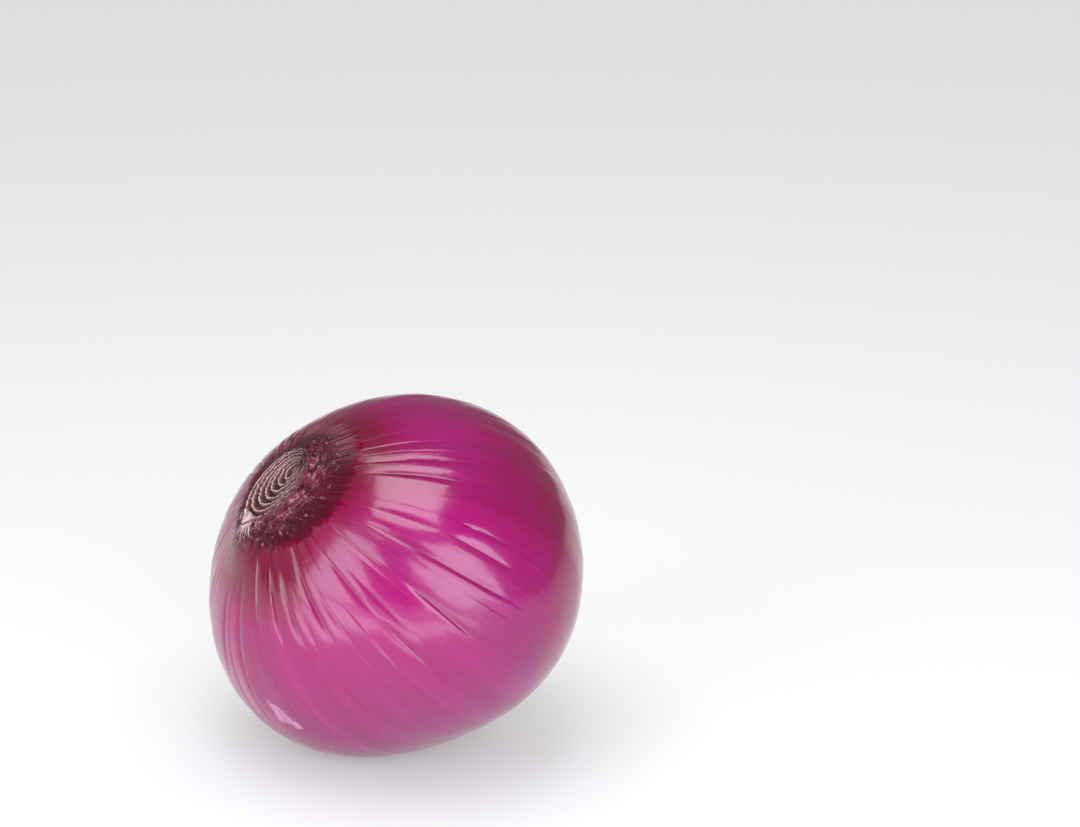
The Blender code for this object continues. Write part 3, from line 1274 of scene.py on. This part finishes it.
    def fillet(self, rim: np.ndarray) -> np.ndarray:
        """Rows that carry the skin up from its rim onto the foot of the neck.

        Args:
            rim: the rim's points.

        Returns:
            The rows, from the neck down, without the rim itself.
        """
        angle = np.arctan2(rim[:, 1], rim[:, 0])
        foot_radius = oval(angle - self.form.neck_azimuth, *self.stub_foot)
        top = self.form.rim_height + self.fillet_rise
        foot = circle(angle, foot_radius, top)
        rows = []
        for share in np.linspace(0, 1, self.fillet_rows, endpoint=False):
            outwards, upwards = 1 - math.cos(share * math.pi / 2), 1 - math.sin(share * math.pi / 2)
            row = rim + (foot - rim) * (1 - outwards)
            row[:, 2] = rim[:, 2] + (top - rim[:, 2]) * upwards
            rows.append(row)
        for reach, drop in self.tuck:
            rows.insert(0, foot * (reach, reach, 1) - (0, 0, drop))
        return np.array(rows)

    def root_face(self, edge: np.ndarray) -> tuple[np.ndarray, np.ndarray]:
        """Rows that round over the root cut's edge and cross the cut scales to the root plate's socket.

        Args:
            edge: the skin's last row.

        Returns:
            The rows, and each row's scale line, from 0 to 1.
        """
        rows, lines = [], []
        out = np.linalg.norm(edge[:, :2], axis=1)
        flat = self.form.cut_height - self.face_sink
        for share in self.face_shares:
            row = edge.copy()
            reach = np.maximum(out * share, self.socket_radius)
            row[:, :2] *= (reach / out)[:, None]
            line = max(math.exp(-(((share - at) / self.line_width) ** 2)) for at in self.scale_lines)
            blend = min(1.0, (1 - share) / self.face_round)
            row[:, 2] += (flat - row[:, 2]) * blend + self.line_rise * line
            rows.append(row)
            lines.append(line)
        for depth in self.socket_depths:
            row = rows[-1].copy()
            reach = np.linalg.norm(row[:, :2], axis=1)
            row[:, :2] *= (self.socket_radius / reach)[:, None]
            row[:, 2] = flat + depth
            rows.append(row)
            lines.append(0.0)
        return np.array(rows), np.array(lines)

    def off_scuff(self, points: np.ndarray) -> np.ndarray:
        """How far points are from the streak where the skin is scuffed.

        Args:
            points: an array whose last axis is x, y, z.

        Returns:
            Each point's distance, longer by the streak's ends.
        """
        start, end = (
            self.form.skin(*(np.array([math.radians(value)]) for value in ends), np.array([self.inset]))[0]
            for ends in self.scuff_ends
        )
        line = end - start
        share = np.clip((points - start) @ line / (line @ line), 0, 1)
        off = np.linalg.norm(points - start - share[..., None] * line, axis=-1)
        return off + self.scuff_taper * np.abs(2 * share - 1) ** 1.5

    def press(self, points: np.ndarray) -> np.ndarray:
        """Flattens the resting spot softly against the ground.

        Args:
            points: an array whose last axis is x, y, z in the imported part's frame.

        Returns:
            The same array, with no point below the ground.
        """
        low = points[..., 2]
        points[..., 2] = (low + np.sqrt(low**2 + self.resting_softness**2)) / 2
        return points

    def build(self) -> None:
        """Builds the skin and dresses it."""
        skin, *notes = self.skin_rows()
        fillet = self.fillet(skin[0])
        face, lines = self.root_face(skin[-1])
        points = np.concatenate((fillet, skin, face))
        groove, tone, collar, creases = (
            np.concatenate((np.repeat(note[:1], len(fillet), 0), note, np.repeat(note[-1:], len(face), 0)))
            for note in notes
        )
        cut, line = np.zeros(len(points)), np.zeros(len(points))
        cut[-len(face) :], line[-len(face) :] = 1.0, lines
        piece = rolled_sheet(
            "bulb_skin",
            self.press(self.lie.world(points)),
            # The groove note also sets the painted shade in the grooves' colour.
            groove=(1 - cut[:, None]) * np.minimum(groove, 1.0),
            tone=tone,
            collar=collar,
            crease=creases * (collar > self.collar_least),
            cut=cut[:, None],
            scale_line=line[:, None],
            off_scuff=np.minimum(self.off_scuff(points), self.scuff_noted),
        )
        finish = SkinFinish()
        hand_over(piece, finish.make(self.lie, Gloss.SHINY), "bulb")
        piece.data.materials.append(finish.make(self.lie, Gloss.DRY))
        upright = self.lie.matrix().inverted()
        for polygon in piece.data.polygons:
            place = upright @ polygon.center
            by_cut = place.z < self.form.cut_height + self.dry_edge
            polygon.material_index = int(finish.dry_at(place) or by_cut)


@dataclass
class Neck:
    """The dried neck: nested sheaths cut across, with a frayed tuft at one end and fibres round it."""

    form: BulbForm
    lie: Lie
    columns: int = 288
    face: Span = (8.8 * MM, 5.7 * MM)
    foot: Span = (9.6 * MM, 6.7 * MM)
    height: float = 2.1 * MM
    sunk: float = 1.2 * MM
    side_rows: int = 15
    side_until: float = 0.985
    side_fibres: int = 74
    side_frays: int = 23
    fray: float = 0.12 * MM
    sheaths: int = 7
    core: float = 0.10
    core_shift: float = 5.0 * MM
    crater: float = 1.0 * MM
    gap_depth: float = 1.25 * MM
    wave_length: float = 1.15 * MM
    wave_height: float = 0.15 * MM
    dip: float = 0.12 * MM
    lift: float = 0.10 * MM
    crush: float = 0.60 * MM
    crush_at: float = math.radians(165)
    crush_width: float = math.radians(48)
    crush_scale: float = 900.0
    pinch: float = 0.05
    pinch_scale: float = 800.0
    spur_length: float = 2.2 * MM
    spur_width: float = math.radians(15)
    spur_drop: float = 0.35 * MM
    skin_inset: float = 0.25 * MM
    collar_rise: float = 1.15 * MM
    collar_width: float = 1.7 * MM
    fibres: int = 230
    fibre_width: float = 0.045 * MM
    tuft_fibres: int = 130
    tuft_width: float = 0.075 * MM
    seed: int = 19
    # (share of the way to the next sheath, depth as a share of the gap's, edge tone). The edge tone falls as the
    # depth grows: painted shade in the gaps.
    steps: tuple = (
        (0.00, 0.15, 0.70),
        (0.04, 0.00, 1.00),
        (0.16, 0.00, 1.00),
        (0.21, 0.12, 0.80),
        (0.26, 0.50, 0.40),
        (0.33, 0.90, 0.12),
        (0.55, 1.10, 0.00),
        (0.80, 1.00, 0.15),
        (0.92, 0.60, 0.45),
    )

    @property
    def top(self) -> float:
        """Height of the cut face."""
        return self.form.rim_height + self.height

    def ring(self, turn: np.ndarray, sides: tuple, height: float | np.ndarray, shift: float) -> np.ndarray:
        """One ring of the neck.

        Args:
            turn: each column's angle from the long axis.
            sides: the oval's half-lengths.
            height: each point's height.
            shift: how far the oval's middle lies off the axis, away from the tuft.

        Returns:
            The ring's points in the onion's frame.
        """
        x, y = sides[0] * np.cos(turn) - shift, sides[1] * np.sin(turn)
        cos, sin = math.cos(self.form.neck_azimuth), math.sin(self.form.neck_azimuth)
        return np.stack((x * cos - y * sin, x * sin + y * cos, height + np.zeros_like(turn)), -1)

    def ripple(self, turn: np.ndarray, waves: int, draw: random.Random) -> np.ndarray:
        """An uneven ripple round a sheath, from about -1 to 1.

        Args:
            turn: each column's angle from the long axis.
            waves: about how many waves go round.
            draw: the source of chance.

        Returns:
            The ripple in each column.
        """
        total = np.zeros_like(turn)
        for weight, spread in ((0.6, 0), (0.35, 3), (0.3, -2), (0.25, 7)):
            count = max(2, waves + spread)
            total += weight * np.cos(count * turn + draw.uniform(0, ANY_PHASE))
        return total

    def side_rings(self, turn: np.ndarray, spur: np.ndarray, draw: random.Random) -> list:
        """The rings up the stub's streaked side.

        Args:
            turn: each column's angle from the long axis.
            spur: the spur's share in each column.
            draw: the source of chance.

        Returns:
            For each ring its points, its edge tone, and 1 because it is on the side.
        """
        fibre = self.ripple(turn, self.side_fibres, draw)
        frayed = self.ripple(turn, self.side_frays, draw)
        base = self.form.rim_height - self.sunk
        rings = []
        for share in np.linspace(0.0, self.side_until, self.side_rows):
            long, short = (low + (high - low) * share for low, high in zip(self.foot, self.face))
            relief = MM * (0.07 * fibre * min(1.0, share * 2) + 0.10 * math.cos(40 * share) * share)
            reach = self.spur_length * spur * max(0.0, share - 0.3) / 0.7
            height = base + (self.top - base) * share + self.fray * frayed * share**4
            ring = self.ring(turn, (long + relief + reach, short + relief), height, 0.0)
            rings.append((ring, 0.2 * share, 1.0))
        return rings

    def sheath_rings(self, turn: np.ndarray, spur: np.ndarray, draw: random.Random) -> list:
        """The rings of the waved sheaths' cut edges and of the gaps between them, from outside in.

        Args:
            turn: each column's angle from the long axis.
            spur: the spur's share in each column.
            draw: the source of chance.

        Returns:
            For each ring its points, its edge tone, and 0 because it is on the cut face.
        """
        tuft_side = 0.5 + 0.5 * np.cos(turn)
        rings = []
        for sheath in range(self.sheaths):
            around = math.pi * sum(self.face) * (1 - (1 - self.core) * sheath / self.sheaths)
            wave = self.ripple(turn, round(around / self.wave_length), draw)
            lift = self.ripple(turn, round(around / self.wave_length / 2), draw)
            dip = draw.uniform(-self.dip, self.dip)
            for share, depth, tone in self.steps:
                out = 1 - (1 - self.core) * (sheath + share) / self.sheaths
                relief = self.wave_height * wave * (0.35 + 0.65 * tuft_side) * min(1.0, 1.6 * out)
                reach = self.spur_length * spur * max(0.0, 1 - 3 * (sheath + share))
                gap = self.gap_depth * depth * (0.45 + 0.55 * tuft_side) * min(1.0, out + 0.4)
                height = self.top + dip - self.crater * (1 - out) - gap
                height = height - self.spur_drop * spur * (sheath == 0) + self.lift * lift * (1 - 0.7 * depth)
                span = (self.face[0] * out + relief + reach, self.face[1] * out + relief)
                rings.append((self.ring(turn, span, height, self.core_shift * (1 - out)), tone, 0.0))
        return rings

    def build_stub(self) -> None:
        """Builds the stub and the nested sheaths on its cut face, as one piece."""
        draw = random.Random(self.seed)
        turn = np.linspace(0, 2 * math.pi, self.columns + 1)
        wrapped = (turn + math.pi) % (2 * math.pi) - math.pi
        spur = np.exp(-((wrapped / self.spur_width) ** 2))
        rings = self.side_rings(turn, spur, draw) + self.sheath_rings(turn, spur, draw)
        points, edges, sides = (np.array(values) for values in zip(*rings))
        crushed = np.exp(-(((turn - self.crush_at) / self.crush_width) ** 2))
        crushed = crushed * np.linspace(0.2, 1, len(points))[:, None] ** 0.3
        points[..., 2] += self.crush * crushed * (crinkle(points, self.crush_scale) - 0.1)
        pinched = crushed * crinkle(points + 0.1, self.pinch_scale)
        points[..., :2] *= 1 + self.pinch * pinched[..., None]
        piece = rolled_sheet(
            "neck_sheaths",
            self.lie.world(points),
            crushed=crushed,
            edge=edges[:, None],
            side=sides[:, None],
        )
        hand_over(piece, SheathFinish().make(self.lie), "neck", crease=60)

    def on_skin(self, turn: float, out: float, lift: float) -> np.ndarray:
        """A point on or over the shoulder, by its turn from the long axis and its distance out.

        Args:
            turn: the angle from the neck's long axis.
            out: the mean distance from the onion's axis.
            lift: the height over the skin.

        Returns:
            The point in the onion's frame.
        """
        angle = np.array([turn + self.form.neck_azimuth])
        level = np.array([math.asin(min(1.0, out / self.form.radius))])
        collar = self.collar_rise * math.exp(-max(0.0, out - self.form.rim_radius) / self.collar_width)
        return self.form.skin(angle, level, np.array([self.skin_inset]))[0] + (0, 0, lift + collar)

    def build_fuzz(self) -> None:
        """Builds the fine dry fibres that lie outwards over the shoulder round the neck."""
        draw = random.Random(self.seed + 1)
        paths = []
        for _ in range(self.fibres):
            turn = draw.choice((draw.uniform(0, 2 * math.pi), draw.gauss(0.6, 0.7)))
            start = self.form.rim_radius * draw.uniform(1.0, 1.6)
            length = draw.uniform(0.8, 3.6) * MM
            sway, lift = draw.gauss(0, 0.05), draw.uniform(0.05, 0.5) * MM
            path = []
            for s in np.linspace(0, 1, 6):
                above = 0.02 * MM + lift * math.sin(2.6 * s)
                path.append(self.on_skin(turn + sway * s * s, start + length * s, above))
            paths.append(self.lie.world(np.array(path)))
        piece = strands("neck_fuzz", paths, self.fibre_width, 0.35)
        finish = FibreFinish("neck_fuzz", (0.130, 0.035, 0.045), (0.016, 0.002, 0.004))
        hand_over(piece, finish.make(self.lie))

    def build_tuft(self) -> None:
        """Builds the frayed pale tuft at the end of the neck's long axis."""
        draw = random.Random(self.seed + 2)
        paths = []
        for _ in range(self.tuft_fibres):
            turn = draw.gauss(0.05, 0.15)
            start = self.face[0] + draw.uniform(-1.0, 1.6) * MM
            reach = draw.uniform(0.6, 2.2) * MM * draw.choice((1.0, 1.0, 1.7))
            curl, drop = draw.gauss(0, 0.10), draw.uniform(0.3, 1.0)
            path = []
            for s in np.linspace(0, 1, 7):
                out = start + reach * s
                curled = np.array([turn + curl * s * s])
                point = self.ring(curled, (out, self.face[1] + reach * s), 0.0, 0.0)[0]
                skin = self.on_skin(turn, out * 0.86, 0.0)[2]
                high = self.top - 0.5 * MM + 0.35 * MM * math.sin(3 * s) * draw.uniform(0.6, 1)
                point[2] = high + (max(skin + 0.15 * MM, high - 3.2 * MM * drop) - high) * s**1.3
                path.append(point)
            paths.append(self.lie.world(np.array(path)))
        piece = strands("neck_tuft", paths, self.tuft_width, 0.3)
        finish = FibreFinish("tuft_fibre", (0.700, 0.540, 0.530), (0.400, 0.240, 0.240))
        hand_over(piece, finish.make(self.lie))

    def build(self) -> None:
        """Builds the neck's pieces and dresses them."""
        self.build_stub()
        self.build_fuzz()
        self.build_tuft()


@dataclass
class RootEnd:
    """The corky root plate, the stubs of its cut roots, and a wisp of dry rootlets."""

    form: BulbForm
    lie: Lie
    columns: int = 120
    socket_radius: float = 8.2 * MM
    clearance: float = 0.3 * MM
    dome: float = 1.2 * MM
    stubs: int = 46
    stub_radius: float = 0.62 * MM
    stub_length: Span = (0.6 * MM, 1.9 * MM)
    stub_sides: int = 9
    sunk: float = 1.2 * MM
    taper: float = 0.82
    rootlets: int = 34
    rootlet_width: float = 0.10 * MM
    seed: int = 5

    @property
    def radius(self) -> float:
        """The root plate's own radius."""
        return self.socket_radius - self.clearance

    def plate_height(self, share: float) -> float:
        """Height of the domed plate at a share of its radius."""
        return self.form.cut_height - self.dome * math.sqrt(max(0.0, 1 - share**2))

    def build_plate(self) -> None:
        """Builds the domed plate."""
        draw = random.Random(self.seed + 7)
        angle = np.linspace(0, 2 * math.pi, self.columns + 1)
        waves = [(draw.randint(3, 17), draw.uniform(0, ANY_PHASE), draw.uniform(5, 26)) for _ in range(10)]
        points = [circle(angle, self.radius, self.form.cut_height + up * MM) for up in (1.6, 0.2)]
        for share in np.sqrt(np.linspace(1.0, 0.0, 34)):
            lumps = sum(np.cos(n * angle + at + share * k) for n, at, k in waves) / math.sqrt(len(waves))
            relief = 0.16 * MM * lumps * math.sqrt(share) * min(1.0, (1.02 - share) * 8)
            points.append(circle(angle, self.radius * share, self.plate_height(share) - relief))
        piece = rolled_sheet("root_plate_cork", self.lie.world(np.array(points)))
        hand_over(piece, CorkFinish().make(self.lie), "root_plate", crease=60)

    def model_stub(self) -> bpy.types.Object:
        """Models one cut root: a tapered peg, swollen at its foot, with a hollow frayed end.

        Returns:
            The root, of radius 1 at its foot on z = 0, with its end at z = -1.
        """
        deselect()
        bpy.ops.mesh.primitive_cone_add(
            vertices=self.stub_sides, radius1=self.taper, radius2=1.0, depth=1.0, location=(0, 0, -0.5)
        )
        stub = bpy.context.active_object
        take(stub)
        bpy.ops.object.transform_apply(location=True, rotation=True, scale=True)
        end = min(stub.data.polygons, key=lambda polygon: polygon.center.z)
        for item in (*stub.data.vertices, *stub.data.edges, *stub.data.polygons):
            item.select = False
        end.select = True
        bpy.ops.object.mode_set(mode="EDIT")
        bpy.ops.mesh.select_mode(type="FACE")
        bpy.ops.mesh.inset(thickness=0.30, depth=0.06)
        bpy.ops.mesh.inset(thickness=0.16, depth=-0.16)
        bpy.ops.mesh.select_all(action="SELECT")
        bpy.ops.mesh.bevel(offset=0.05, segments=1, affect="EDGES")
        deselect()
        return stub

    def build_stubs(self) -> None:
        """Copies the modelled root to every root's place and joins the copies."""
        draw = random.Random(self.seed)
        rough = random.Random(self.seed + 1)
        pattern = self.model_stub()
        copies = []
        for index in range(self.stubs):
            share = math.sqrt((index + 0.5) / self.stubs)
            out = share * (self.radius - 2.2 * self.stub_radius)
            angle = index * GOLDEN_ANGLE + draw.uniform(-0.12, 0.12)
            length = self.sunk + draw.uniform(*self.stub_length)
            radius = self.stub_radius * draw.uniform(0.8, 1.2)
            tilt = math.radians(-draw.uniform(6, 24)) * share
            place = (
                self.lie.matrix()
                @ Matrix.Rotation(angle, 4, "Z")
                @ Matrix.Translation((out, 0, self.plate_height(share) + self.sunk))
                @ Matrix.Rotation(tilt, 4, "Y")
                @ Matrix.Rotation(rough.uniform(0, ANY_PHASE), 4, "Z")
                @ Matrix.Diagonal((radius, radius, length, 1))
            )
            copy = pattern.copy()
            copy.data = pattern.data.copy()
            for vertex in copy.data.vertices:
                vertex.co.x *= 1 + rough.uniform(-0.10, 0.10)
                vertex.co.y *= 1 + rough.uniform(-0.10, 0.10)
                vertex.co.z += rough.uniform(-0.04, 0.0) * (vertex.co.z < -0.5)
            copy.data.transform(place)
            bpy.context.scene.collection.objects.link(copy)
            copies.append(copy)
        bpy.data.objects.remove(pattern)
        deselect()
        for copy in copies:
            copy.select_set(True)
        bpy.context.view_layer.objects.active = copies[0]
        bpy.ops.object.join()
        piece = bpy.context.active_object
        piece.name = piece.data.name = "cut_roots"
        finish = FibreFinish("cut_root", (0.620, 0.500, 0.350), (0.300, 0.190, 0.110), 700.0)
        hand_over(piece, finish.make(self.lie), crease=50)

    def build_rootlets(self) -> None:
        """Builds the wisp of thin dry rootlets between the cut roots."""
        draw = random.Random(self.seed + 2)
        paths = []
        for _ in range(self.rootlets):
            share, angle = math.sqrt(draw.random()) * 0.8, draw.uniform(0, 2 * math.pi)
            start = Vector(circle(np.array(angle), self.radius * share, self.plate_height(share)))
            aim = Vector(circle(np.array(angle), 0.7, -1.0)).normalized()
            bend = Vector([draw.uniform(-1, 1) for _ in range(3)]) * 0.8
            length = draw.uniform(1.6, 4.2) * MM
            path = [start + aim * length * s + bend * length * 0.5 * s * s for s in np.linspace(-0.1, 1, 9)]
            paths.append(self.lie.world(np.array([tuple(p) for p in path])))
        piece = strands("rootlets", paths, self.rootlet_width, 0.35)
        finish = FibreFinish("rootlet", (0.600, 0.460, 0.300), (0.260, 0.150, 0.080), 1200.0)
        hand_over(piece, finish.make(self.lie))

    def build(self) -> None:
        """Builds the root end's pieces and dresses them."""
        self.build_plate()
        self.build_stubs()
        self.build_rootlets()


@dataclass(frozen=True)
class Lamp:
    """A rectangular light that the camera doesn't see."""

    name: str
    azimuth: float
    width: float
    height: float
    radiance: float
    colour: Colour

    def light(self, place: Vector, turn: Euler) -> None:
        """Puts the light up.

        Args:
            place: where its middle is.
            turn: how it is turned.
        """
        deselect()
        bpy.ops.object.light_add(type="AREA", location=place, rotation=turn)
        lamp = bpy.context.active_object
        lamp.name = self.name
        lamp.data.shape = "RECTANGLE"
        lamp.data.size, lamp.data.size_y = self.width, self.height
        lamp.data.energy = self.radiance * math.pi * self.width * self.height
        lamp.data.color = self.colour
        lamp.visible_camera = False


@dataclass(frozen=True)
class Softbox(Lamp):
    """A soft light that faces the onion."""

    elevation: float
    distance: float

    def hang(self, target: Vector) -> None:
        """Hangs the light.

        Args:
            target: what it faces.
        """
        azimuth, elevation = math.radians(self.azimuth), math.radians(self.elevation)
        level = math.cos(elevation)
        aim = Vector((math.cos(azimuth) * level, math.sin(azimuth) * level, math.sin(elevation)))
        self.light(target + aim * self.distance, aim.to_track_quat("Z", "Y").to_euler())


@dataclass(frozen=True)
class TableCard(Lamp):
    """A lit card that lies flat on the ground, between the onion and a softbox."""

    near: float

    def lay(self, target: Vector) -> None:
        """Lays the card.

        Args:
            target: the middle of the onion.
        """
        azimuth, reach = math.radians(self.azimuth), self.near + self.width / 2
        place = Vector((target.x + reach * math.cos(azimuth), target.y + reach * math.sin(azimuth), 4 * MM))
        self.light(place, Euler((math.pi, 0, -azimuth)))


@dataclass
class Studio:
    """The pale ground, the soft light and the camera."""

    lie: Lie
    floor_size: float = 9.0
    sky: float = 0.20
    backdrop: float = 0.70
    pitch: float = math.radians(18.0)
    azimuth: float = math.radians(-36.84)
    lens: float = 80.0
    # The onion's seat in the camera's own axes: right, up, and away behind the lens.
    seat_in_view: Point = (-0.0296484, -0.0349422, -0.5087891)
    # (name, azimuth, width, height, radiance, colour, elevation, distance)
    softboxes: tuple[Softbox, ...] = (
        Softbox("overhead_softbox", -138.0, 0.37, 0.43, 4.3, NEAR_WHITE, 79.5, 0.60),
        Softbox("left_softbox", -172.0, 0.27, 0.42, 3.7, COOL_WHITE, 20.0, 0.50),
        Softbox("right_softbox", -103.0, 0.48, 0.46, 4.1, COOL_WHITE, 19.0, 0.60),
    )
    # (name, azimuth, width, height, radiance, colour, nearest edge's distance)
    cards: tuple[TableCard, ...] = (
        TableCard("left_card", -168.0, 0.20, 0.075, 2.6, COOL_WHITE, 0.10),
        TableCard("right_card", -116.0, 0.13, 0.07, 2.0, COOL_WHITE, 0.09),
    )

    def lay_floor(self) -> None:
        """Lays the pale ground."""
        deselect()
        bpy.ops.mesh.primitive_plane_add(size=self.floor_size, location=(0, 0, 0))
        floor = bpy.context.active_object
        floor.name = floor.data.name = "pale_ground"
        floor.data.materials.append(FloorFinish().make())
        floor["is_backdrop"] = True

    def light(self) -> None:
        """Hangs the lights and sets the sky."""
        for softbox in self.softboxes:
            softbox.hang(Vector(self.lie.seat))
        for card in self.cards:
            card.lay(Vector(self.lie.seat))
        world = bpy.data.worlds.new("pale_sky")
        world.use_nodes = True
        background = world.node_tree.nodes["Background"]
        background.inputs["Color"].default_value = (1.0, 0.99, 0.98, 1.0)
        seen = world.node_tree.nodes.new("ShaderNodeLightPath")
        strength = world.node_tree.nodes.new("ShaderNodeMapRange")
        strength.inputs["To Min"].default_value = self.sky
        strength.inputs["To Max"].default_value = self.backdrop
        world.node_tree.links.new(seen.outputs["Is Camera Ray"], strength.inputs["Value"])
        world.node_tree.links.new(strength.outputs["Result"], background.inputs["Strength"])
        bpy.context.scene.world = world

    def set_camera(self) -> None:
        """Sets the camera where the photograph was taken from."""
        deselect()
        turn = Matrix.Rotation(self.azimuth, 4, "Z") @ Matrix.Rotation(math.pi / 2 - self.pitch, 4, "X")
        place = Matrix.Translation(self.lie.seat) @ turn @ Matrix.Translation([-v for v in self.seat_in_view])
        bpy.ops.object.camera_add()
        camera = bpy.context.active_object
        camera.name = "camera"
        camera.matrix_world = place
        camera.data.lens = self.lens
        camera.data.clip_start, camera.data.clip_end = 0.02, 50.0
        bpy.context.scene.camera = camera
        bpy.context.scene.view_settings.view_transform = "Standard"

    def build(self) -> None:
        """Sets up the studio."""
        self.lay_floor()
        self.light()
        self.set_camera()


def main() -> None:
    """Builds the onion's sub-assemblies and the studio."""
    logging.basicConfig(level=logging.INFO, format="%(name)s: %(message)s")
    lie, form = Lie(), BulbForm()
    Bulb(form, Ribs(), lie).build()
    Neck(form, lie).build()
    RootEnd(form, lie).build()
    Studio(lie).build()
    boxes = {"cad": [list(corner) for corner in CAD_BOX], "visual": [list(corner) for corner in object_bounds()]}
    for name, box in boxes.items():
        low, high = ([round(value / MM, 2) for value in corner] for corner in box)
        LOG.info("%s box in mm: %s to %s", name, low, high)


if __name__ == "__main__":
    main()
